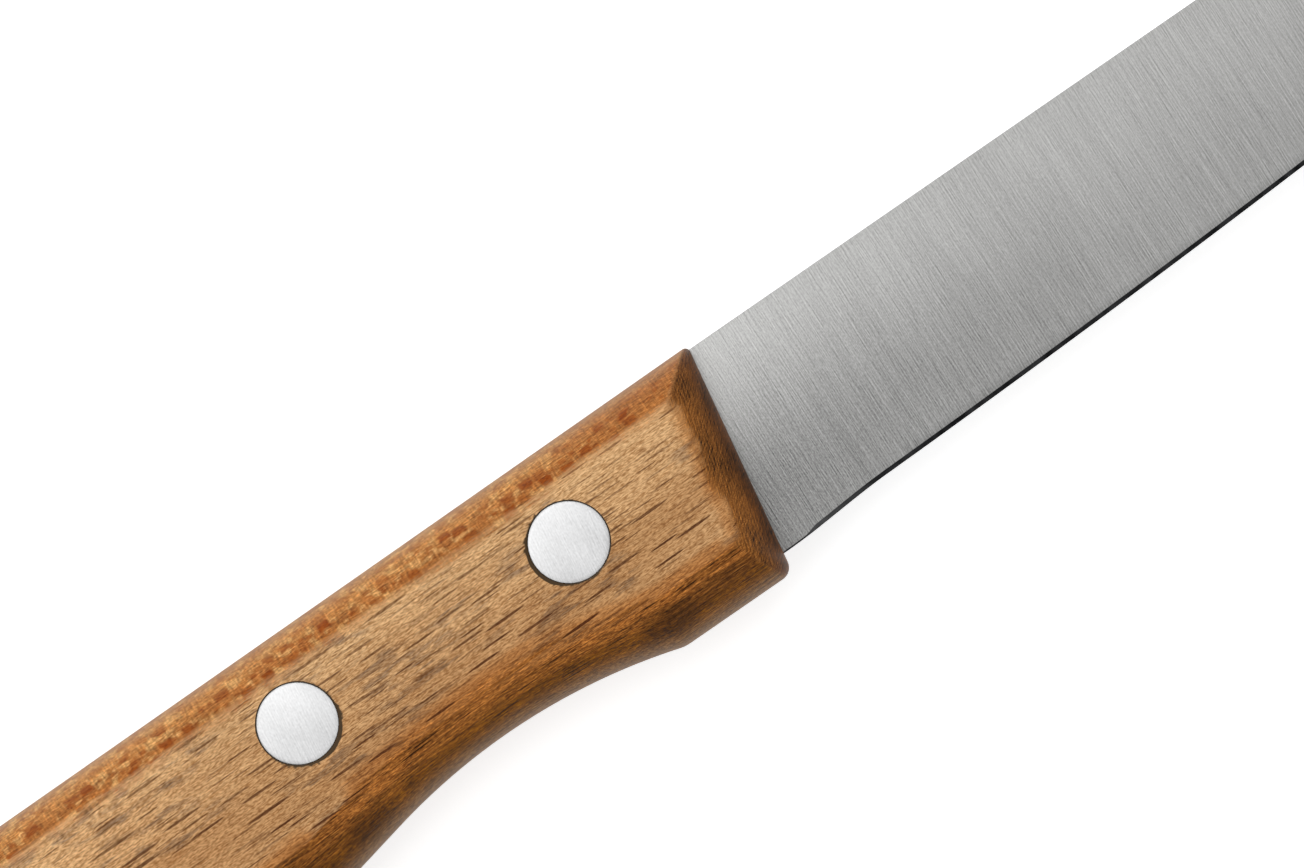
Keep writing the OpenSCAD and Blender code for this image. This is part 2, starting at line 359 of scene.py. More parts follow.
# %% [markdown]
# ## Beech, drawn through the whole solid
# Beech is known by its rays: thin upright sheets that run out from the middle of the tree. Cut across
# they show as short dark dashes, and cut along they show as flat flecks. A picture wrapped round the
# handle would have to fake that, so the wood is a solid texture instead. Three axes are laid through the
# piece, along the grain, across the rings and along the rays, and the rays are stretched cells in that
# space, with a lens in each cell. The flat side shows them as dashes. The flecks on the back are squarish
# cells in the plane of the rays, and stretched noise gives pores, fibres, streaks and the slow change of
# tone from ring to ring.

# %% Node group: rays and grain of beech
GRAIN_ANGLE = math.radians(0.5)
RAY_TILT = math.radians(40)
WOOD_MARKS = (
    "Rays", "Fine rays", "Flecks", "Weave", "Pores", "Speckle", "Streaks", "Tone", "Stain", "Fibres",
)


def beech_group():
    """Marks of the wood from 0 to 1. Every length, width and depth is in millimetres."""
    inputs = {"Vector": VECTOR, "Cut": VECTOR, "Flip": NUMBER}
    outputs = {name: NUMBER for name in WOOD_MARKS}
    tree, given, end = new_tree("Beech grain", "ShaderNodeTree", inputs, outputs)
    x, y, z = split(scaled(given["Vector"], 1 / MM))
    sided = joined(tree, x, y, z * given["Flip"])
    moved = add(tree, "ShaderNodeVectorMath", {0: sided, 1: given["Cut"]}, operation="ADD")
    along, ring, ray = (
        add(tree, "ShaderNodeVectorMath", {0: moved, 1: axis}, out="Value", operation="DOT_PRODUCT")
        for axis in Euler((RAY_TILT, 0, GRAIN_ANGLE)).to_matrix().col
    )

    def stretched(length, width, depth):
        return joined(tree, along / length, ring / width, ray / depth)

    def noise(length, width, depth):
        feeds = {"Vector": stretched(length, width, depth), "Scale": 1, "Detail": 2}
        return add(tree, "ShaderNodeTexNoise", feeds)

    def chosen(cell, least, most, kept, core):
        """A patch in some of the cells, each of its own size and strength."""
        chance, reach, strength = split(cell.other("Color"))
        radius = reach * (most - least) + least
        return cell.smooth(radius, radius * core) * (chance > 1 - kept) * (strength * 0.4 + 0.6)

    def cells(length, width, depth, least, most, kept):
        """Lens-shaped sheets."""
        feeds = {"Vector": stretched(length, width, depth), "Scale": 1, "Randomness": 0.85}
        cell = add(tree, "ShaderNodeTexVoronoi", feeds)
        return chosen(cell, least, most, kept, core=0.72)

    def blocks(length, depth, least, most, kept):
        """Squarish patches, as a ray shows where it lies flat in the surface."""
        wobble = noise(1.2, 0.8, 0.8) * 0.35
        spread = joined(tree, along / length + wobble, ray / depth + wobble, 0)
        square = {"voronoi_dimensions": "2D", "distance": "CHEBYCHEV"}
        cell = add(tree, "ShaderNodeTexVoronoi", {"Vector": spread, "Scale": 1}, **square)
        return chosen(cell, least, most, kept, core=0.55)

    long_rays = cells(8, 0.38, 9, least=0.2, most=0.35, kept=1)
    short_rays = cells(5.5, 0.2, 5, least=0.22, most=0.46, kept=0.55)
    large_flecks = blocks(2.2, 2.1, least=0.32, most=0.48, kept=0.55)
    small_flecks = blocks(1.1, 1.0, least=0.26, most=0.46, kept=0.4)
    marks = {
        "Rays": long_rays.math("MAXIMUM", short_rays * 0.7),
        "Fine rays": cells(1.5, 0.13, 3, least=0.2, most=0.48, kept=0.8),
        "Flecks": large_flecks.math("MAXIMUM", small_flecks * 0.7),
        "Weave": noise(0.2, 1, 1.4) * 0.5 + noise(2.4, 0.16, 0.16) * 0.5,
        "Pores": noise(2, 0.1, 0.1),
        "Speckle": noise(0.42, 0.1, 0.1),
        "Fibres": noise(3.4, 0.15, 0.2),
        "Streaks": noise(16, 0.5, 1.2).smooth(0.48, 0.66),
        "Tone": noise(30, 3.5, 6),
        "Stain": noise(3.6, 0.55, 2).smooth(0.48, 0.62) * noise(16, 5, 9).smooth(0.46, 0.58),
    }
    for name, mark in marks.items():
        feed(tree, end.inputs[name], mark)
    return tree


beech_grain = beech_group()
print("Node group:", beech_grain.name)

# %% [markdown]
# ## From grain to finished wood
# Oil and handling have coloured the handle unevenly. The flat side is a dry tan with grey stains, painted
# deeper toward the edge as shade. The rounded back is a warm amber with red flecks and pale patches and
# painted shade next to the tang, and the edge side is darker, with long streaks and spots of oil. The end
# grain at the front drank the most oil and shows crossed sanding marks.
# Dirt has gathered in the gaps round the rivets. Each mesh carries an attribute that says which side a
# point belongs to and how far down the rounding it lies, so the finish follows the shape of the handle.
# The left scale is another board, cut elsewhere in the wood.

# %% Colours of the flat side and the back
TAN = screen(221, 180, 131)
TAN_DEEP_SHADED = screen(178, 132, 86)
FINE_BROWN = screen(150, 106, 66)
STAIN_TINT = (0.46, 0.47, 0.56, 1)
RAY_BROWN = screen(90, 53, 28)
RIDGE_TINT = (0.86, 0.66, 0.44, 1)
AMBER = screen(188, 131, 71)
RUST = screen(166, 107, 54)
FLECK = screen(138, 66, 8)
SEAM_TAN = screen(172, 127, 80)
PALE_TAN = screen(214, 170, 108)
SEAM_SHADE = screen(108, 84, 58)


def flat_side(wood, x, y, ridge):
    """Dry tan with grey stains and dark rays, painted deeper toward the edge as shade of the light from the
    spine side.
    """
    shade_toward_edge = (SPINE_Y - y).smooth(1, 13)
    # Painted shade: the tan turns deeper toward the edge; the tone of the rings varies it at random
    colour = blend((shade_toward_edge * 0.72 + wood["Tone"].swing(1.2)).within(), TAN, TAN_DEEP_SHADED)
    colour = blend(wood["Fine rays"] * 0.45, colour, FINE_BROWN)
    colour = brightened(colour, 1 + wood["Fibres"].swing(0.35) + x.smooth(-18, -40) * 0.1)
    stained = wood["Stain"] * (0.4 + wood["Pores"].smooth(0.42, 0.6) * 0.6)
    colour = blend(stained, colour, STAIN_TINT, "MULTIPLY")
    colour = blend(wood["Rays"], colour, RAY_BROWN)
    return blend(ridge.within() * 0.9, colour, RIDGE_TINT, "MULTIPLY")


def back_side(wood, x, rounding, worn, uneven):
    """Warm amber with red flecks and pale patches, duller toward the tang and with painted shade next to it.
    """
    weave = wood["Weave"]
    colour = blend(worn.smooth(0.34, 0.12).math("MAXIMUM", x.smooth(12, 26)), AMBER, RUST)
    colour = blend(wood["Fine rays"] * 0.3, colour, FLECK)
    seam = rounding.smooth(0.36, 0.62)
    colour = blend(seam * 0.8, colour, SEAM_TAN)
    colour = blend(uneven.smooth(0.5, 0.64) * weave * x.smooth(28, 10), colour, PALE_TAN)
    colour = brightened(colour, 1 + weave.swing(3 - seam * 2))
    flecks = wood["Flecks"] * (0.5 + weave) * (0.35 + rounding.smooth(0.45, 0.2) * 0.65)
    colour = blend(flecks.within(), colour, FLECK)
    # Painted shade: darker next to the tang, where the rounding turns away from the light
    return blend(rounding.smooth(0.6, 1) * 0.65, colour, SEAM_SHADE)


print("Tan wood sends back", round(TAN[0] * 100), "% of red light and", round(TAN[2] * 100), "% of blue")

# %% Colours of the edge side and the end grain
EDGE_AMBER = screen(174, 111, 52)
EDGE_BROWN = screen(130, 80, 12)
EDGE_DARK = screen(60, 32, 3)
SEAM_BROWN = screen(130, 98, 64)
OIL_SPOTS = (complex(18.2, -11.4), complex(-14.5, -11.3))
OIL_LENGTH = 4
OIL_WIDTH = 2
END_BROWN = screen(139, 89, 40)
END_DARK = screen(94, 57, 24)
SANDING_TURN = math.radians(-106)
CROSS_TURN = math.radians(-138)


def oil_spots(x, y):
    """Soft dark spots on the edge side, where fingers have rubbed oil and dirt into the wood."""
    spots = []
    for centre in OIL_SPOTS:
        along = (x - centre.real) / OIL_LENGTH
        across = (y - centre.imag) / OIL_WIDTH
        spots.append((along * along + across * across).smooth(1, 0))
    return combined("MAXIMUM", spots)


def edge_side(wood, x, y, rounding, worn):
    """Darker amber with long streaks and spots of oil, darkest before and behind the finger groove."""
    colour = blend(worn.smooth(0, 0.3), EDGE_AMBER, EDGE_BROWN)
    streaked = wood["Streaks"] * 0.3 + wood["Rays"] * 0.8 + wood["Fine rays"] * 0.5
    colour = blend(streaked.within(), colour, EDGE_DARK)
    front = x.smooth(12, 24) * rounding.smooth(0.03, 0.07) * rounding.smooth(0.36, 0.14) * 0.55
    colour = blend((x.smooth(-12, -28) * 0.6).math("MAXIMUM", front), colour, EDGE_DARK)
    colour = blend(oil_spots(x, y) * 0.6, colour, EDGE_DARK)
    colour = blend(rounding.smooth(0.28, 0.68), colour, SEAM_BROWN)
    return brightened(colour, 1 + wood["Fibres"].swing(2.6) + wood["Speckle"].swing(1.2))


def end_grain(place, y, rounding):
    """Brown, darker toward the tang and toward the back, with sanding marks in two directions."""
    sanding = lines_on(place, SANDING_TURN, spacing=0.18, length=1.6)
    crossing = lines_on(place, CROSS_TURN, spacing=0.16, length=1.1)
    soaked = zones_on(place, 2.4, SANDING_TURN, stretch=1.6)
    darkening = rounding.smooth(0.1, 0.55).math("MAXIMUM", y.smooth(2, 7) * 0.7)
    colour = blend(darkening, END_BROWN, END_DARK)
    return brightened(colour, 1 + sanding.swing(2.4) + crossing.swing(2.6) + soaked.swing(1.6))


print("Oiled end grain sends back", round(END_DARK[0] * 100), "% of red light")

# %% Dirt round the rivets
HANDLE_THICKNESS = 16
MIDDLE_Z = HANDLE_THICKNESS / 2
RIVETS = (complex(14.8, -0.22), complex(-14.8, 0.22), complex(-44.2, -1.2))
WIDE_TURNS = (-3.0, -1.0, 0.7)
GRIME = screen(74, 58, 40)
GRIME_SHIFT = 0.2
GRIME_REACH = 3.98
GRIME_CORE = 3.74
GRIME_WANDER = 0.8
GAP_REACH = 4.2
GAP_FADE = 0.1
SUNK_START = 0.002
SUNK_FULL = 0.03


def rivet_grime(place):
    """Dark dirt: all over the gap round each rivet head, and with an uneven border on the flat side."""
    x, y, z = split(scaled(place, 1 / MM))
    flat = joined(place.tree, x, y, 0)
    distances = []
    for rivet, wide_turn in zip(RIVETS, WIDE_TURNS):
        dirt = rivet + cmath.rect(GRIME_SHIFT, wide_turn)
        feeds = {0: flat, 1: (dirt.real, dirt.imag, 0)}
        distances.append(add(place.tree, "ShaderNodeVectorMath", feeds, "Value", operation="DISTANCE"))
    nearest = combined("MINIMUM", distances)
    uneven = zones_on(place, 0.45)
    spread = (nearest + uneven.swing(GRIME_WANDER)).smooth(GRIME_REACH, GRIME_CORE)
    sunk = (z - MIDDLE_Z).math("ABSOLUTE").smooth(MIDDLE_Z - SUNK_START, MIDDLE_Z - SUNK_FULL)
    return spread.math("MAXIMUM", sunk * nearest.smooth(GAP_REACH, GAP_REACH - GAP_FADE))


print("Dirt round", len(RIVETS), "rivets")

# %% Material: oiled beech
SPECK_TINT = (0.66, 0.53, 0.4, 1)
PORE_RELIEF = 0.03 * MM


def oiled_beech(name, cut, flip):
    """Wood of one scale. Along x the handle goes from 34 mm at the front to -74 mm at the butt."""
    material, tree, shader, place = new_material(name, Specular_IOR_Level=0.08)
    grain = group(tree, beech_grain, {"Vector": place, "Cut": cut, "Flip": flip})
    wood = {mark: grain.other(mark) for mark in WOOD_MARKS}
    speckle = wood["Speckle"]
    pores = wood["Pores"]
    uneven = zones_on(place, 1.1)
    x, y, z = split(scaled(place, 1 / MM))

    # How much of each side a point belongs to, with uneven borders
    sides = add(tree, "ShaderNodeAttribute", attribute_name="sides")
    on_back, on_edge, on_front = split(sides)
    rounding = sides.other("Alpha")
    worn = rounding + speckle.swing(0.12) + wood["Tone"].swing(0.16)
    low_worn = worn + x.smooth(-12, -32) * 0.13 + (wood["Streaks"] - 0.35) * 0.05
    front_worn = worn + uneven.swing(0.05)
    back = on_back * (worn + pores.swing(0.12)).smooth(-0.02, 0.07)
    low = on_edge * low_worn.smooth(-0.04, 0.04)
    front = on_front.smooth(0.02, 0.4 + x.smooth(20, -20) * 0.6) * front_worn.smooth(-0.02, 0.05)
    ridge = on_edge * low_worn.smooth(-0.26, -0.06) + on_front * front_worn.smooth(-0.16, 0) * 0.7

    # All sides together, with fine specks and dirt
    colour = flat_side(wood, x, y, ridge)
    colour = blend(low, colour, edge_side(wood, x, y, rounding, low_worn))
    colour = blend(back, colour, back_side(wood, x, rounding, worn, uneven))
    colour = blend(front, colour, end_grain(place, y, rounding))
    specks = (speckle * 0.6 + pores * 0.4).smooth(0.6, 0.36)
    colour = blend(specks, colour, SPECK_TINT, "MULTIPLY")
    colour = brightened(colour, 1.14 + speckle.swing(1.3))
    colour = blend(rivet_grime(place), colour, GRIME)
    oil = (back + low + front).within()
    set_surface(tree, shader, colour, 0.6 - oil * 0.14 + speckle.swing(0.3))
    sunken = wood["Rays"] * 0.6 + pores * 0.25 + wood["Fine rays"] * 0.15
    bumped(tree, shader, 1 - sunken, PORE_RELIEF)
    return material


beech_right = oiled_beech("oiled_beech_right", (0, 0, 0), 1)
beech_left = oiled_beech("oiled_beech_left", (137, 41, 19), -1)
print("Materials:", beech_right.name, "and", beech_left.name)

# %% [markdown]
# ## The outline of the handle
# Seen from the flat side, the handle is a chain of arcs and straight lines that touch without corners: a
# square front, a finger groove, a belly, a hollow neck, a hooked butt and a long straight back. A point
# is written as a complex number, because adding then moves it and a unit of a given angle turns it, which
# keeps arcs short to write. Each side can be set in by its own depth, and that is how the roundings are
# made later.

# %% Arcs of the outline
BACK_RISE = 0.36
FRONT_DEPTH = 22.1
GROOVE_BACK = 33.5
GROOVE_DEPTH = 19.4
BELLY_DEPTH = 23.49
HANDLE_LENGTH = 108
GROOVE_RADIUS = 60
BELLY_RADIUS = 48
NECK_RADIUS = 40
HOOK_RADIUS = 9
SHOULDER_RADIUS = 8
BACK_RADIUS = 190
BACK_TURN = 90.35
FRONT_TURN = -9.7
BOTTOM_TURN = -90
RAMP_TURN = -77.6
TAIL_TURN = -99
HOOK_TURN = -74
BUTT_TURN = -180
SHOULDER_TURN = -217
DROOP_TURN = -263
FRONT_CORNER = complex(FRONT_X, SPINE_Y + BACK_RISE)
BOTTOM_Y = SPINE_Y - FRONT_DEPTH


def unit(turn):
    return cmath.rect(1, math.radians(turn))


def mix(one, other, share):
    return one + (other - one) * share


def dot(one, other):
    return (one * other.conjugate()).real


GROOVE = complex(FRONT_X - GROOVE_BACK, SPINE_Y - GROOVE_DEPTH - GROOVE_RADIUS)
RAMP_START = GROOVE - GROOVE_RADIUS * unit(RAMP_TURN)
BELLY_Y = SPINE_Y - BELLY_DEPTH + BELLY_RADIUS
RAMP_RUN = BELLY_RADIUS + (BELLY_Y - RAMP_START.imag) * unit(RAMP_TURN).imag
BELLY = complex(RAMP_START.real - RAMP_RUN / unit(RAMP_TURN).real, BELLY_Y)
TAIL_START = BELLY + BELLY_RADIUS * unit(TAIL_TURN)
TAIL_TO_HOOK = NECK_RADIUS * (unit(TAIL_TURN) - unit(HOOK_TURN)) - HOOK_RADIUS * unit(HOOK_TURN)
TAIL_REACH = TAIL_START.real + TAIL_TO_HOOK.real - HOOK_RADIUS - FRONT_X + HANDLE_LENGTH
TAIL_END = TAIL_START + TAIL_REACH / -unit(TAIL_TURN).imag * unit(TAIL_TURN) * -1j
NECK = TAIL_END + NECK_RADIUS * unit(TAIL_TURN)
HOOK = TAIL_END + TAIL_TO_HOOK
BUTT_POINT = HOOK + HOOK_RADIUS * unit(BUTT_TURN)
DROOP_REACH = (
    (BACK_RADIUS - SHOULDER_RADIUS) * unit(DROOP_TURN)
    - BACK_RADIUS * unit(BACK_TURN)
    + SHOULDER_RADIUS * unit(SHOULDER_TURN)
)
BUTT_SWING = unit(SHOULDER_TURN) - unit(BUTT_TURN)
BUTT_RISE = dot(FRONT_CORNER + DROOP_REACH - BUTT_POINT, unit(BACK_TURN))
BUTT_RADIUS = BUTT_RISE / dot(BUTT_SWING, unit(BACK_TURN))
BUTT = BUTT_POINT - BUTT_RADIUS * unit(BUTT_TURN)
SHOULDER = BUTT + (BUTT_RADIUS - SHOULDER_RADIUS) * unit(SHOULDER_TURN)
DROOP = SHOULDER - (BACK_RADIUS - SHOULDER_RADIUS) * unit(DROOP_TURN)
print("The butt is an arc of", round(BUTT_RADIUS, 1), "mm")

# %% Outline with its sides set in
ON_BACK = (1, 0, 0)
ON_EDGE = (0, 1, 0)
ON_FRONT = (0, 0, 1)
CORNER_STEPS = 10
ROUND_STEPS = 16
HOOK_STEPS = 28
BUTT_STEPS = 12

# Radii of the small corners, at the tang and at the flat side
TOP_RADII = (0.5, 1.2)
LOW_RADII = (1.3, 0.7)
CREASE_RADII = (4, 1.5)


def inside_corner(turn_a, depth_a, turn_b, depth_b):
    """Point at the given depths inside two straight sides through the top corner of the front."""
    a = unit(turn_a)
    b = unit(turn_b)
    turn = (a.conjugate() * b).imag
    across = (depth_b * a.imag - depth_a * b.imag) / turn
    up = (depth_a * b.real - depth_b * a.real) / turn
    return FRONT_CORNER + complex(across, up)


def arc(centre, radius, start, stop, steps, side, last_side=None, first=1):
    """Points along an arc, each with its side of the handle. The first point is mostly left out."""
    points = []
    for step in range(first, steps + 1):
        share = step / steps
        blended = tuple(mix(a, b, share) for a, b in zip(side, last_side or side))
        points.append((centre + radius * unit(mix(start, stop, share)), blended))
    return points


def handle_outline(edge_in, back_in, front_in, share):
    """Outline with its sides set in, at a share of the way from the tang to the flat side."""
    top_radius = mix(*TOP_RADII, share)
    low_radius = mix(*LOW_RADII, share)
    crease_radius = mix(*CREASE_RADII, share)
    top = inside_corner(BACK_TURN, back_in + top_radius, FRONT_TURN, front_in + top_radius)
    low_depth = edge_in + low_radius - FRONT_CORNER.imag + BOTTOM_Y
    low = inside_corner(FRONT_TURN, front_in + low_radius, BOTTOM_TURN, low_depth)
    crease_reach = GROOVE_RADIUS + edge_in + crease_radius
    crease_rise = BOTTOM_Y + edge_in + crease_radius - GROOVE.imag
    crease_run = math.sqrt(crease_reach ** 2 - crease_rise ** 2)
    crease = GROOVE + complex(crease_run, crease_rise)
    crease_turn = math.degrees(math.atan(crease_rise / crease_run)) - 180
    back_start = DROOP + (BACK_RADIUS - back_in) * unit(BACK_TURN)
    back_end = top + top_radius * unit(BACK_TURN)
    front_start = top + top_radius * unit(FRONT_TURN)
    front_end = low + low_radius * unit(FRONT_TURN)
    crease_start = crease + crease_radius * unit(BOTTOM_TURN)
    low_end = low + low_radius * unit(BOTTOM_TURN)

    def straight(start, stop, steps, side):
        return [(mix(start, stop, step / steps), side) for step in range(1, steps + 1)]

    outline = straight(front_start, front_end, steps=20, side=ON_FRONT)
    outline += arc(low, low_radius, FRONT_TURN, BOTTOM_TURN, CORNER_STEPS, ON_FRONT, ON_EDGE)
    outline += straight(low_end, crease_start, steps=6, side=ON_EDGE)
    outline += arc(crease, crease_radius, BOTTOM_TURN, crease_turn, CORNER_STEPS, ON_EDGE)
    outline += arc(GROOVE, -GROOVE_RADIUS - edge_in, crease_turn, RAMP_TURN, steps=36, side=ON_EDGE)
    outline += arc(BELLY, BELLY_RADIUS - edge_in, RAMP_TURN, TAIL_TURN, steps=20, side=ON_EDGE, first=0)
    outline += arc(NECK, -NECK_RADIUS - edge_in, TAIL_TURN, HOOK_TURN, steps=20, side=ON_EDGE, first=0)
    outline += arc(HOOK, HOOK_RADIUS - edge_in, HOOK_TURN, BUTT_TURN, HOOK_STEPS, ON_EDGE, ON_FRONT)
    for step in range(1, BUTT_STEPS + 1):
        part = step / BUTT_STEPS
        radius = BUTT_RADIUS - mix(edge_in, back_in, part)
        outline.append((BUTT + radius * unit(mix(BUTT_TURN, SHOULDER_TURN, part)), ON_FRONT))
    shoulder_radius = SHOULDER_RADIUS - back_in
    outline += arc(SHOULDER, shoulder_radius, SHOULDER_TURN, DROOP_TURN, ROUND_STEPS, ON_FRONT, ON_BACK)
    outline += arc(DROOP, BACK_RADIUS - back_in, DROOP_TURN, BACK_TURN - 360, ROUND_STEPS, ON_BACK)
    outline += straight(back_start, back_end, steps=70, side=ON_BACK)
    outline += arc(top, top_radius, BACK_TURN, FRONT_TURN, CORNER_STEPS, ON_BACK, ON_FRONT)
    return outline


reach = [point.real for point, side in handle_outline(0, 0, 0, 0)]
print("Outline of", len(reach), "points,", round(max(reach) - min(reach), 1), "mm long")

# %% [markdown]
# ## The scales
# A scale is the wooden half of a handle. It is lofted: a stack of outlines is set in further and further
# toward the flat side, which rounds its borders, and faces join each outline to the next. The flat faces
# have rivet holes in them, so they are filled by a triangulation that keeps to the given edges. Round
# each rivet head the drill tore the wood a little, so the rim of its recess is uneven, and wider on one
# side.

# %% Rounding of the sides
STEEL_THICKNESS = 1.5
SCALE_THICKNESS = (HANDLE_THICKNESS - STEEL_THICKNESS) / 2
EDGE_ROUNDING = 4.6
BACK_ROUNDING = 3.3
FRONT_ROUNDING = 3.0
RIDGE_SOFTNESS = 0.5


def set_in(width, z):
    """How far a side is set in at height z above the tang: an arc, then a soft ridge."""
    radius = (SCALE_THICKNESS ** 2 + width ** 2) / (2 * width)
    ridge_drop = RIDGE_SOFTNESS * SCALE_THICKNESS / radius
    ridge_z = SCALE_THICKNESS - ridge_drop
    if z < ridge_z:
        return radius - math.sqrt(radius ** 2 - z ** 2)
    start = radius - math.sqrt(radius ** 2 - ridge_z ** 2)
    t = 1 - math.sqrt(max(0, SCALE_THICKNESS - z) / ridge_drop)
    return (1 - t) ** 2 * start + 2 * t * (1 - t) * width + t ** 2 * (width + RIDGE_SOFTNESS)


edge_set_in = set_in(EDGE_ROUNDING, SCALE_THICKNESS)
print("The flat side starts", round(edge_set_in, 1), "mm inside the edge side")

# %% A mesh in the making
RIM_POINTS = 144
NO_SIDE = (0, 0, 0, -0.3)
KEEP_INSIDE = 1
SAME_POINT = 1e-7


def encloses(ring, point):
    """True if a closed ring of points goes round a point."""
    turns = sum(cmath.phase((b - point) / (a - point)) for a, b in zip(ring, ring[1:] + ring[:1]))
    return abs(turns) > math.pi


def smoothed(mesh, sharp_angle):
    """Shade a mesh smooth, apart from edges that turn by more than an angle in degrees."""
    mesh.shade_smooth()
    mesh.set_sharp_from_angle(angle=math.radians(sharp_angle))
    return mesh


class Shell:
    """Points, faces and point attributes of a mesh while it is being built, in millimetres."""

    def __init__(self):
        self.points = []
        self.faces = []
        self.sides = []

    def ring(self, outline, z, sides=NO_SIDE):
        """Add a ring of points and give their numbers."""
        first = len(self.points)
        for number, point in enumerate(outline):
            self.points.append((point.real, point.imag, z))
            self.sides.append(sides[number] if isinstance(sides, list) else sides)
        return list(range(first, len(self.points)))

    def bridge(self, *rings):
        """Join each ring to the next by a band of faces."""
        for one, other in zip(rings, rings[1:]):
            for i in range(len(one)):
                j = (i + 1) % len(one)
                self.faces.append((one[i], one[j], other[j], other[i]))

    def places(self, numbers):
        return [complex(*self.points[n][:2]) for n in numbers]

    def cap(self, ring, holes, inner=()):
        """Close a ring by triangles, round its holes and through any points inside it."""
        numbers = []
        edges = []
        for closed in (ring, *holes):
            first = len(numbers)
            count = len(closed)
            edges += [(first + i, first + (i + 1) % count) for i in range(count)]
            numbers += closed
        numbers += inner
        places = self.places(numbers)
        cuts = [self.places(hole) for hole in holes]
        flat = [Vector((place.real, place.imag)) for place in places]
        for face in delaunay_2d_cdt(flat, edges, [], KEEP_INSIDE, SAME_POINT)[2]:
            centre = sum(places[i] for i in face) / 3
            if not any(encloses(cut, centre) for cut in cuts):
                self.faces.append(tuple(numbers[i] for i in face))

    def mesh(self, name, sharp_angle):
        mesh = bpy.data.meshes.new(name)
        mesh.from_pydata([Vector(p) * MM for p in self.points], [], self.faces)
        work = bmesh.new()
        work.from_mesh(mesh)
        bmesh.ops.recalc_face_normals(work, faces=work.faces)
        work.to_mesh(mesh)
        work.free()
        sides = mesh.attributes.new("sides", "FLOAT_COLOR", "POINT")
        sides.data.foreach_set("color", [value for side in self.sides for value in side])
        return smoothed(mesh, sharp_angle)


def circle(centre, radius):
    return [centre + radius * unit(360 * i / RIM_POINTS) for i in range(RIM_POINTS)]


print("Rims have", RIM_POINTS, "points")

# %% Rivet recesses and the flat between them
HEAD_DIAMETER = 7.5
HEAD_HEIGHT = 2.5
HEAD_RECESS = 0.03
HEAD_SEAT = HEAD_RECESS + HEAD_HEIGHT
SHANK_HOLE = 2.55
CLOSED_RIM = 3.85
WIDE_GAPS = (0.34, 0.36, 0.3)
TEAR_WAVES = (3, 7, 11, 19, 31, 43)
TEAR_DEPTH = 0.014
TEAR_SHARE = 0.12
GAP_DEPTH = 0.15
GAP_FLOOR = 0.03
FLAT_STEP = 0.8
FLAT_WIDTH = 26


def torn_rim(turn, number):
    """Radius of one rivet's recess rim at a turn: a clean hole, a wider side and small tears."""
    wider = WIDE_GAPS[number] * max(0, math.cos(turn - WIDE_TURNS[number])) ** 3
    tears = sum(math.sin(turn * waves + (number + 1) * waves) / waves ** 0.5 for waves in TEAR_WAVES)
    return CLOSED_RIM + wider + (TEAR_DEPTH + wider * TEAR_SHARE) * tears


def recess_rings(shell, place, number, height):
    """Rings of one stepped rivet hole, from its torn rim on the flat side down to the tang."""
    turns = [math.tau * i / RIM_POINTS for i in range(RIM_POINTS)]
    rim = [place + cmath.rect(torn_rim(turn, number), turn) for turn in turns]
    snug = circle(place, HEAD_DIAMETER / 2 + GAP_FLOOR)
    shank = circle(place, SHANK_HOLE)
    steps = ((rim, 0), (snug, GAP_DEPTH), (snug, HEAD_SEAT), (shank, HEAD_SEAT), (shank, SCALE_THICKNESS))
    rings = [shell.ring(points, height(SCALE_THICKNESS - down)) for points, down in steps]
    shell.bridge(*rings)
    return rings


def flat_points(border, sides, holes):
    """Points all over the flat, each with the side nearest to it and how far inside the border it lies."""
    found = []
    for column in range(int(HANDLE_LENGTH / FLAT_STEP)):
        for row in range(int(FLAT_WIDTH / FLAT_STEP)):
            point = complex(FRONT_X - (column + row % 2 / 2) * FLAT_STEP, SPINE_Y - row * FLAT_STEP)
            away, nearest = min((abs(point - edge), number) for number, edge in enumerate(border))
            near_hole = min(abs(point - rim) for hole in holes for rim in hole) < FLAT_STEP / 2
            if away < FLAT_STEP / 2 or near_hole or not encloses(border, point):
                continue
            if not any(encloses(hole, point) for hole in holes):
                found.append((point, sides[nearest][:3] + (-away / SCALE_THICKNESS,)))
    return found


widest = max(torn_rim(turn, number) for number, turn in enumerate(WIDE_TURNS))
print("The torn rims reach", round(widest, 1), "mm from the middle of a rivet")

# %% Build the two scales
LEVELS = 30


def scale_mesh(name, side):
    """Mesh of a scale, on side 1 above the tang or -1 below it."""
    shell = Shell()

    def height(z):
        return MIDDLE_Z + side * (STEEL_THICKNESS / 2 + z)

    rings = []
    for level in range(LEVELS + 1):
        z = SCALE_THICKNESS * math.sin(math.pi / 2 * level / LEVELS)
        depths = [set_in(width, z) for width in (EDGE_ROUNDING, BACK_ROUNDING, FRONT_ROUNDING)]
        share = z / SCALE_THICKNESS
        outline = handle_outline(*depths, share)
        sides = [tuple(where) + (1 - share,) for point, where in outline]
        rings.append(shell.ring([point for point, where in outline], height(z), sides))
    shell.bridge(*rings)
    holes = [recess_rings(shell, place, number, height) for number, place in enumerate(RIVETS)]
    rims = [hole[0] for hole in holes]
    flat = flat_points(shell.places(rings[-1]), sides, [shell.places(rim) for rim in rims])
    flat_places = [point for point, where in flat]
    inner = shell.ring(flat_places, height(SCALE_THICKNESS), [where for point, where in flat])
    shell.cap(rings[-1], rims, inner)
    shell.cap(rings[0], [hole[-1] for hole in holes])
    return shell.mesh(name, sharp_angle=40)


def new_object(name, data, *materials):
    added = bpy.data.objects.new(name, data)
    bpy.context.scene.collection.objects.link(added)
    for material in materials:
        data.materials.append(material)
    return added


right_scale = new_object("right_scale", scale_mesh("right_scale", 1), beech_right)
left_scale = new_object("left_scale", scale_mesh("left_scale", -1), beech_left)
print("Each scale has", len(right_scale.data.polygons), "faces")

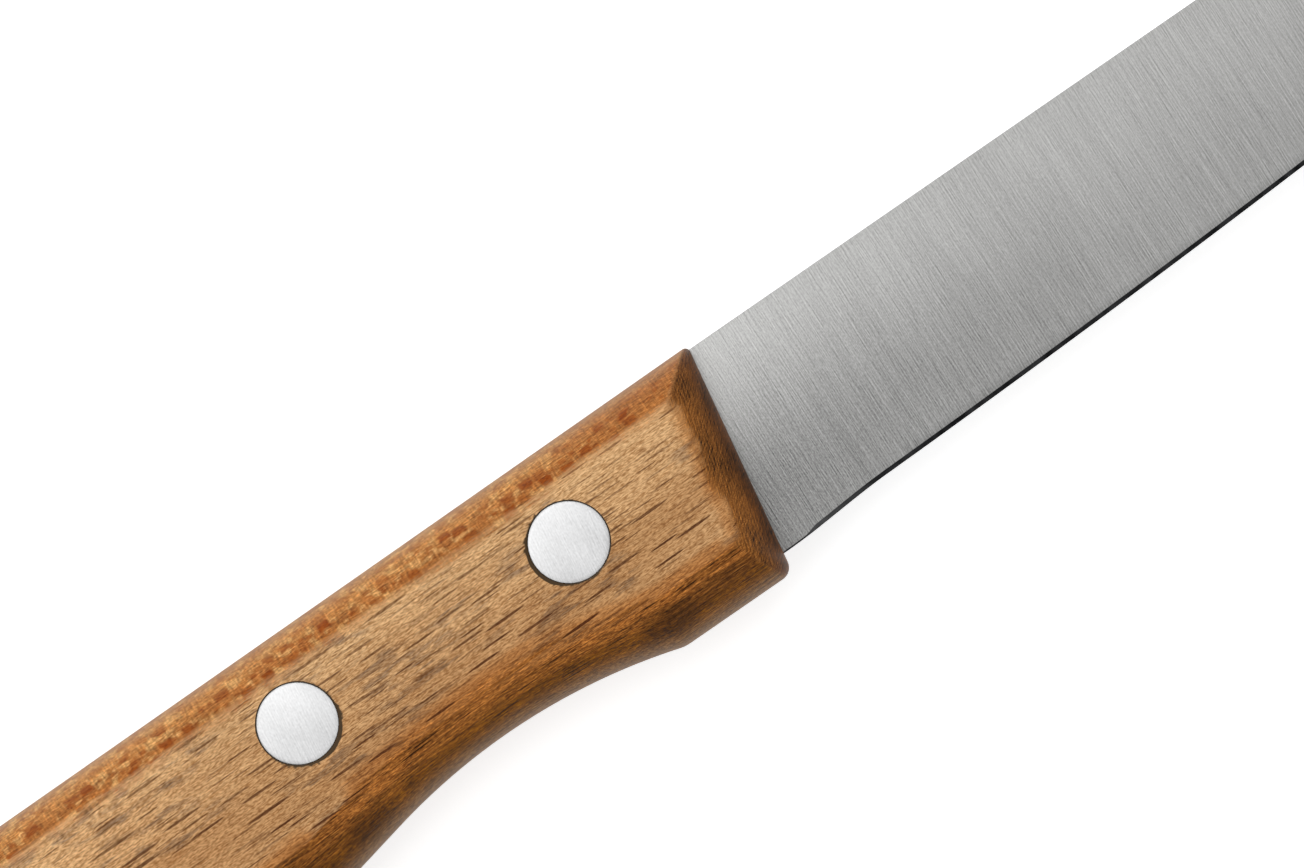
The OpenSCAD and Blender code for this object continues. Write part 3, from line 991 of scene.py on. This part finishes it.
# %% [markdown]
# ## The blade, by rule
# The blade is stamped from sheet and ground: its spine, its edge and its thickness each follow a simple
# formula of the distance from the handle. That suits Geometry Nodes. A plain grid is made, its long side
# becomes the length of the blade and its short side walks round half a section, from the middle of the
# spine over the flat to the edge. The second half is the same with its height turned over. The tang, the
# part that runs through the handle, is a flat plate with rivet holes. It is the object's own mesh, and
# the tree joins it to the blade with a union.

# %% Helpers for geometry trees
WELD = 0.001 * MM


def stops(row, *values):
    """Value that goes straight from one (row, value) stop to the next."""
    total = values[0][1]
    for (start, low), (stop, high) in zip(values, values[1:]):
        total = total + (high - low) * ((row - start) / (stop - start)).within()
    return total


def grid_of(tree, stations, rows):
    """Plain grid, with wires for the share along it, from 0 to 1, and for the row across it."""
    feeds = {"Size X": 1, "Size Y": 1, "Vertices X": stations, "Vertices Y": rows + 1}
    grid = add(tree, "GeometryNodeMeshGrid", feeds)
    x, y, z = split(add(tree, "GeometryNodeInputPosition"))
    return grid, x + 0.5, (y + 0.5) * rows


def bent(grid, x, y, z):
    """Grid with its points moved to places in millimetres."""
    place = scaled(joined(grid.tree, x, y, z), MM)
    return add(grid.tree, "GeometryNodeSetPosition", {"Geometry": grid, "Position": place})


def welded(mesh):
    return add(mesh.tree, "GeometryNodeMergeByDistance", {"Geometry": mesh, "Distance": WELD})


def painted(mesh, material, where=True):
    feeds = {"Geometry": mesh, "Selection": where, "Material": material}
    return add(mesh.tree, "GeometryNodeSetMaterial", feeds)


def made_by(piece, tree, values, sharp_angle):
    """Run a tree on a piece once, keep the result as its plain mesh and remove the modifier."""
    modifier = piece.modifiers.new(tree.name, "NODES")
    modifier.node_group = tree
    for socket in tree.interface.items_tree:
        if socket.name in values:
            modifier[socket.identifier] = values[socket.name]
    graph = bpy.context.evaluated_depsgraph_get()
    mesh = bpy.data.meshes.new_from_object(piece.evaluated_get(graph))
    piece.modifiers.clear()
    piece.data = smoothed(mesh, sharp_angle)
    return piece


print("Points within", round(WELD / MM, 4), "mm are welded")

# %% Formulas of the blade
EASE_ROW = 1
FACE_ROW = 4
BEVEL_ROW = 28
APEX_ROW = 31
LAST_ROW = 32
EASE_SHARE = 0.25
BLADE_SIZES = {
    "Length": 95, "Root": 8, "Heel depth": 20.2, "Steel": STEEL_THICKNESS, "Behind edge": 0.35, "Bevel": 0.42,
    "Heel relief": 0.5, "Heel start": -3.453, "Heel run": 11.8, "Edge slope": 0.0115, "Edge curve": 0.00034,
    "Grind run": 14, "Bevel start": -1, "Bevel run": 1.5,
    "Belly run": 40, "Belly power": 2.6, "Droop run": 38, "Tip drop": 2.5, "Tip depth": 0.4,
    "Apex": 0.05, "Spine ease": 0.15, "Thinning": 0.7, "Front": FRONT_X, "Spine": SPINE_Y, "Middle": MIDDLE_Z,
}


def side_view(size, u):
    """Spine and edge at a distance u from the handle, as depths below a straight spine."""
    length = size["Length"]

    def plain_edge(at):
        relief = size["Heel relief"] * ((at - size["Heel start"]) / size["Heel run"]).smooth()
        ahead = at.math("MAXIMUM", 0)
        return size["Heel depth"] - relief - size["Edge slope"] * ahead - size["Edge curve"] * ahead * ahead

    def last_part(stretch):
        return (1 - (length - u) / stretch).math("MAXIMUM", 0)

    spine = size["Tip drop"] * last_part(size["Droop run"]) ** 2
    tip_fall = plain_edge(length) - size["Tip drop"] - size["Tip depth"]
    low = plain_edge(u) - tip_fall * last_part(size["Belly run"]) ** size["Belly power"]
    return spine, low


def half_section(size, u, depth, row):
    """Way down from the spine, and half the thickness there, for a row of the grid."""
    ground = (u / size["Grind run"]).smooth()
    sharp = ((u - size["Bevel start"]) / size["Bevel run"]).smooth()
    steel_half = size["Steel"] / 2
    kept = (depth / size["Heel depth"]).within() ** size["Thinning"]
    thin = size["Behind edge"].toward(size["Steel"], kept) / 2
    spine_half = steel_half.toward(thin, ground)
    face_half = steel_half.toward(size["Behind edge"] / 2, ground)
    apex_half = (steel_half - size["Spine ease"]).toward(size["Apex"] / 2, sharp)
    most = depth * EASE_SHARE
    ease = size["Spine ease"].math("MINIMUM", most)
    bevel = size["Spine ease"].toward(size["Bevel"], sharp).math("MINIMUM", most)
    down = stops(row, (EASE_ROW, 0), (FACE_ROW, ease), (BEVEL_ROW, depth - bevel), (APEX_ROW, depth))
    half = stops(
        row, (0, 0), (EASE_ROW, spine_half - ease), (FACE_ROW, spine_half), (BEVEL_ROW, face_half),
        (APEX_ROW, apex_half), (LAST_ROW, 0),
    )
    return down, half


print("The blade follows", len(BLADE_SIZES), "sizes")

# %% Tree: blade from formulas
STATIONS = 300
TIP_CROWDING = 1.3


def blade_tree():
    inputs = {"Tang": GEOMETRY, **{name: NUMBER for name in BLADE_SIZES}}
    inputs.update({"Flat finish": MATERIAL, "Edge finish": MATERIAL})
    tree, size, end = new_tree("Blade by rule", "GeometryNodeTree", inputs, {"Blade": GEOMETRY})
    grid, station, row = grid_of(tree, STATIONS, LAST_ROW)
    grid = painted(grid, size["Flat finish"])
    grid = painted(grid, size["Edge finish"], where=row > BEVEL_ROW)

    run = 1 - (1 - station) ** TIP_CROWDING
    u = run * (size["Length"] + size["Root"]) - size["Root"]
    spine, low = side_view(size, u)
    down, half = half_section(size, u, low - spine, row)
    closed = (station * (STATIONS - 1)).within() * ((1 - station) * (STATIONS - 1)).within()
    half = half * closed
    x = size["Front"] + u
    y = size["Spine"] - spine - down

    upper = add(tree, "GeometryNodeFlipFaces", {"Mesh": bent(grid, x, y, size["Middle"] + half)})
    both = add(tree, "GeometryNodeJoinGeometry", {"Geometry": upper})
    feed(tree, both.socket.node.inputs["Geometry"], bent(grid, x, y, size["Middle"] - half))
    parts = {"Mesh 2": welded(both)}
    union = add(tree, "GeometryNodeMeshBoolean", parts, operation="UNION", solver="EXACT")
    feed(tree, union.socket.node.inputs["Mesh 2"], painted(size["Tang"], size["Flat finish"]))
    plain = add(tree, "GeometryNodeRealizeInstances", {"Geometry": union})
    feed(tree, end.inputs["Blade"], plain)
    return tree


blade_rule = blade_tree()
print("Blade tree with", len(blade_rule.nodes), "nodes")

# %% Build the tang and the blade
TANG_INSET = 0.15
SHOULDER_INSET = 0.6
TANG_HOLE = 2.6
TANG_SKIM = 0.004


def tang_mesh():
    shell = Shell()
    outline = [point for point, side in handle_outline(TANG_INSET, TANG_INSET, SHOULDER_INSET, 0)]
    half = STEEL_THICKNESS / 2 - TANG_SKIM
    faces = [shell.ring(outline, MIDDLE_Z + z) for z in (-half, half)]
    shell.bridge(*faces)
    holes = []
    for place in RIVETS:
        rims = [shell.ring(circle(place, TANG_HOLE), MIDDLE_Z + z) for z in (-half, half)]
        shell.bridge(*rims)
        holes.append(rims)
    for level, ring in enumerate(faces):
        shell.cap(ring, [rims[level] for rims in holes])
    return shell.mesh("tang", sharp_angle=30)


blade_values = {name: float(value) for name, value in BLADE_SIZES.items()}
blade_values.update({"Flat finish": steel, "Edge finish": edge})
knife_blade = made_by(new_object("knife_blade", tang_mesh()), blade_rule, blade_values, sharp_angle=25)
print("Blade and tang have", len(knife_blade.data.polygons), "faces")

# %% [markdown]
# ## The rivets, by rule
# A cutlery rivet comes in two halves: a tube with a head, and a pin with a head that is pressed into the
# tube. Both are turned shapes, so a grid is again bent by formula: its long side goes round the axis and
# its short side follows the profile, from the middle of the head over its eased border and down the
# shank. Only the profile's sizes differ, so one tree makes all six halves. Each is placed on the one
# point of its own object.

# %% Tree: turned rivet half
TURN_STEPS = 96
CROWN_END = 10
EASE_MIDDLE = 13
EASE_END = 15
HEAD_END = 17
SHANK_START = 18
SHANK_END = 20
BORE_START = 21
BORE_END = 23
PROFILE_ROWS = 24
EASE_BOW = 0.3
RIVET_SIZES = ("Head", "Height", "Ease", "Crown", "Shank", "Reach", "Bore", "Bore floor", "Up")


def rivet_tree():
    inputs = {"Point": GEOMETRY, **{name: NUMBER for name in RIVET_SIZES}, "Finish": MATERIAL}
    tree, size, end = new_tree("Turned rivet half", "GeometryNodeTree", inputs, {"Rivet": GEOMETRY})
    grid, share, row = grid_of(tree, TURN_STEPS + 1, PROFILE_ROWS)
    turn = share * math.tau
    head = size["Head"] / 2
    shank = size["Shank"] / 2
    bore = size["Bore"] / 2
    ease = size["Ease"]
    top = size["Height"]
    end_z = size["Reach"] * -1
    radius = stops(
        row, (0, 0), (CROWN_END, head - ease), (EASE_MIDDLE, head - ease * EASE_BOW), (EASE_END, head),
        (HEAD_END, head), (SHANK_START, shank), (SHANK_END, shank), (BORE_START, bore), (BORE_END, bore),
        (PROFILE_ROWS, 0),
    )
    height = stops(
        row, (CROWN_END, top), (EASE_MIDDLE, top - ease * EASE_BOW), (EASE_END, top - ease), (HEAD_END, 0),
        (SHANK_START, 0), (SHANK_END, end_z), (BORE_START, end_z), (BORE_END, size["Bore floor"]),
    )
    crown = 1 - (row / CROWN_END).within() ** 2
    height = height + crown * size["Crown"]
    x = radius * turn.math("COSINE")
    y = radius * turn.math("SINE") * size["Up"]
    turned = welded(bent(grid, x, y, height * size["Up"]))
    placed = add(tree, "GeometryNodeInstanceOnPoints", {"Points": size["Point"], "Instance": turned})
    plain = add(tree, "GeometryNodeRealizeInstances", {"Geometry": placed})
    feed(tree, end.inputs["Rivet"], painted(plain, size["Finish"]))
    return tree


rivet_rule = rivet_tree()
print("Rivet tree with", len(rivet_rule.nodes), "nodes")

# %% Build the six rivet halves
RIVET_NAMES = ("front", "middle", "rear")
SHANK_DIAMETER = 5.0
PIN_DIAMETER = 3.2
PIN_CLEARANCE = 0.02
RIVET_PLAY = 1.0
SHANK_REACH = HANDLE_THICKNESS - 2 * HEAD_SEAT - RIVET_PLAY
CROWN = 0.2
HEAD_EASE = 0.06
FLOOR_DROP = 0.01
RIVET_HEAD = {
    "Head": HEAD_DIAMETER, "Height": HEAD_HEIGHT - CROWN, "Ease": HEAD_EASE, "Crown": CROWN,
    "Reach": SHANK_REACH, "Finish": aluminium,
}
TUBE_HALF = {
    "Shank": SHANK_DIAMETER, "Bore": PIN_DIAMETER + 2 * PIN_CLEARANCE, "Bore floor": -FLOOR_DROP, "Up": 1.0,
}
PIN_HALF = {
    "Shank": PIN_DIAMETER, "Bore": PIN_DIAMETER / 2, "Bore floor": -SHANK_REACH - FLOOR_DROP, "Up": -1.0,
}


def rivet_half(name, place, half):
    """One half, on a point at the seat of its head: on the right for a tube, on the left for a pin."""
    seat = MIDDLE_Z + half["Up"] * (MIDDLE_Z - HEAD_SEAT)
    point = bpy.data.meshes.new(name)
    point.from_pydata([Vector((place.real, place.imag, seat)) * MM], [], [])
    return made_by(new_object(name, point), rivet_rule, {**RIVET_HEAD, **half}, sharp_angle=35)


rivet_halves = {}
for label, place in zip(RIVET_NAMES, RIVETS):
    rivet_halves[f"rivet_{label}_tube"] = rivet_half(f"{label}_rivet_tube_half", place, TUBE_HALF)
    rivet_halves[f"rivet_{label}_pin"] = rivet_half(f"{label}_rivet_pin_half", place, PIN_HALF)
print("Rivet halves:", ", ".join(piece.name for piece in rivet_halves.values()))

# %% [markdown]
# ## Each piece takes its CAD node's place
# Nothing on this knife moves, so every piece rides on the one body. Each stands for its CAD node, which
# is then hidden.

# %% Hand the pieces to the frame
stand_ins = {"blade": knife_blade, "scale_right": right_scale, "scale_left": left_scale, **rivet_halves}
for node, piece in stand_ins.items():
    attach(piece, "root")
    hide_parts(node)
print("Pieces:", len(stand_ins))

# %% [markdown]
# ## Floor, light and camera
# The knife lies on a plain white floor in soft studio light, with the broad side of the light at its
# spine. The floor shows white to the camera by a little glow that only the camera and reflections see, so
# it lights nothing and the shadow stays. The camera looks straight down through a long lens, turned so
# that the blade points up and to the right.

# %% Floor and world
FLOOR_GLOW = 0.65
FLOOR_HALF = 3.0
FLOOR_Z = -0.0001
FLOOR_GREY = (0.85, 0.85, 0.85, 1)
WHITE = (1, 1, 1, 1)
WORLD_LIGHT = 0.5


def seen_ray(tree):
    """1 for rays that the camera sees directly, by reflection or through glass."""
    path = add(tree, "ShaderNodeLightPath", {}, "Is Camera Ray")
    glossy = path.other("Is Glossy Ray")
    through = path.other("Is Transmission Ray")
    return path.math("MAXIMUM", glossy).math("MAXIMUM", through)


def white_floor():
    plain = {"Base_Color": FLOOR_GREY, "Roughness": 0.9, "Specular_IOR_Level": 0, "Emission_Color": WHITE}
    material, tree, shader, place = new_material("white_floor", **plain)
    feed(tree, shader.inputs["Emission Strength"], seen_ray(tree) * FLOOR_GLOW)
    return material


floor_mesh = bpy.data.meshes.new("floor")
corners = [(x * FLOOR_HALF, y * FLOOR_HALF, FLOOR_Z) for x, y in ((-1, -1), (1, -1), (1, 1), (-1, 1))]
floor_mesh.from_pydata(corners, [], [(0, 1, 2, 3)])
floor = new_object("floor", floor_mesh, white_floor())

world = bpy.data.worlds.new("studio")
bpy.context.scene.world = world
world.use_nodes = True
background = world.node_tree.nodes["Background"]
background.inputs["Color"].default_value = WHITE
seen = seen_ray(world.node_tree)
feed(world.node_tree, background.inputs["Strength"], WORLD_LIGHT + seen * (1 - WORLD_LIGHT))
print("Floor at", FLOOR_Z, "m")

# %% Key light
KEY_DIRECTION = Vector((-0.2, 0.75, 1.0)).normalized()
KEY_DISTANCE = 0.9
softbox = bpy.data.lights.new("key_softbox", "AREA")
softbox.size = 1.2
softbox.energy = 6.2
key = new_object("key_softbox", softbox)
key.location = KEY_DIRECTION * KEY_DISTANCE
key.rotation_euler = KEY_DIRECTION.to_track_quat("Z", "Y").to_euler()
key.visible_camera = False
print("Key light of", softbox.energy, "W")

# %% Camera
PHOTO_TURN = math.radians(34.6)
PHOTO_CENTRE = (26.57, 3.57)
PHOTO_WIDTH = 118.5
FOCUS_HEIGHT = 12
LENS = 500
camera_data = bpy.data.cameras.new("camera")
camera_data.lens = LENS
camera_data.clip_end = 20
camera = new_object("camera", camera_data)
camera_rise = PHOTO_WIDTH * LENS / camera_data.sensor_width
camera.location = Vector((*PHOTO_CENTRE, FOCUS_HEIGHT + camera_rise)) * MM
camera.rotation_euler = (0, 0, -PHOTO_TURN)
bpy.context.scene.camera = camera
bpy.context.scene.view_settings.view_transform = "Standard"
print("Camera", round(camera_rise), "mm above the handle")
